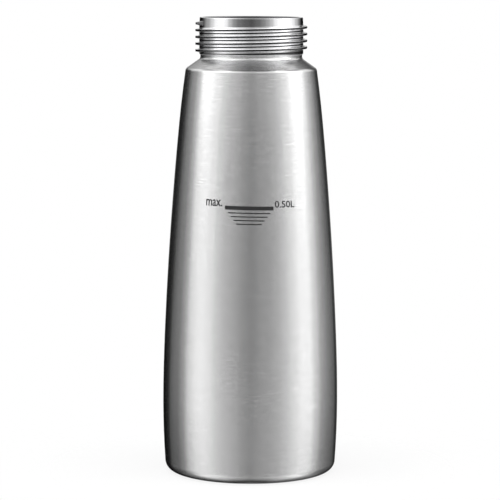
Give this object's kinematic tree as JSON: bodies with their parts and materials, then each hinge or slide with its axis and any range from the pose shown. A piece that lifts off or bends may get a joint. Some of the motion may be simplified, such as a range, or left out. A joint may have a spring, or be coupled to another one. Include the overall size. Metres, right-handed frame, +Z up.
{
  "type": "whipped cream dispenser bottle",
  "caption": "Tapered brushed steel bottle of a hand-held cream whipper, with a threaded neck ring for its dispensing head and printed fill marks.",
  "frame": {"origin": "centre of the foot, on the plane that the bottle stands on", "axes": "+Z up along the bottle's axis towards the mouth, -Y towards the side with the fill marks"},
  "size_m": [0.079, 0.079, 0.2047],
  "materials": {
    "body_steel": "stainless sheet, brushed round the axis with fine level strokes, satin",
    "ring_steel": "turned stainless bar, bright and almost mirror-like",
    "base_steel": "pressed stainless sheet, plain mill finish",
    "weld_steel": "fused bead, cleaned bright",
    "fill_mark_ink": "screen-printed black ink"
  },
  "bodies": {
    "root": {"bottle_body": "body_steel", "neck_ring": "ring_steel", "base_pan": "base_steel", "neck_weld": "weld_steel", "base_weld": "weld_steel", "max_fill_line": "fill_mark_ink", "fill_scale_lines": "fill_mark_ink"}
  },
  "joints": []
}
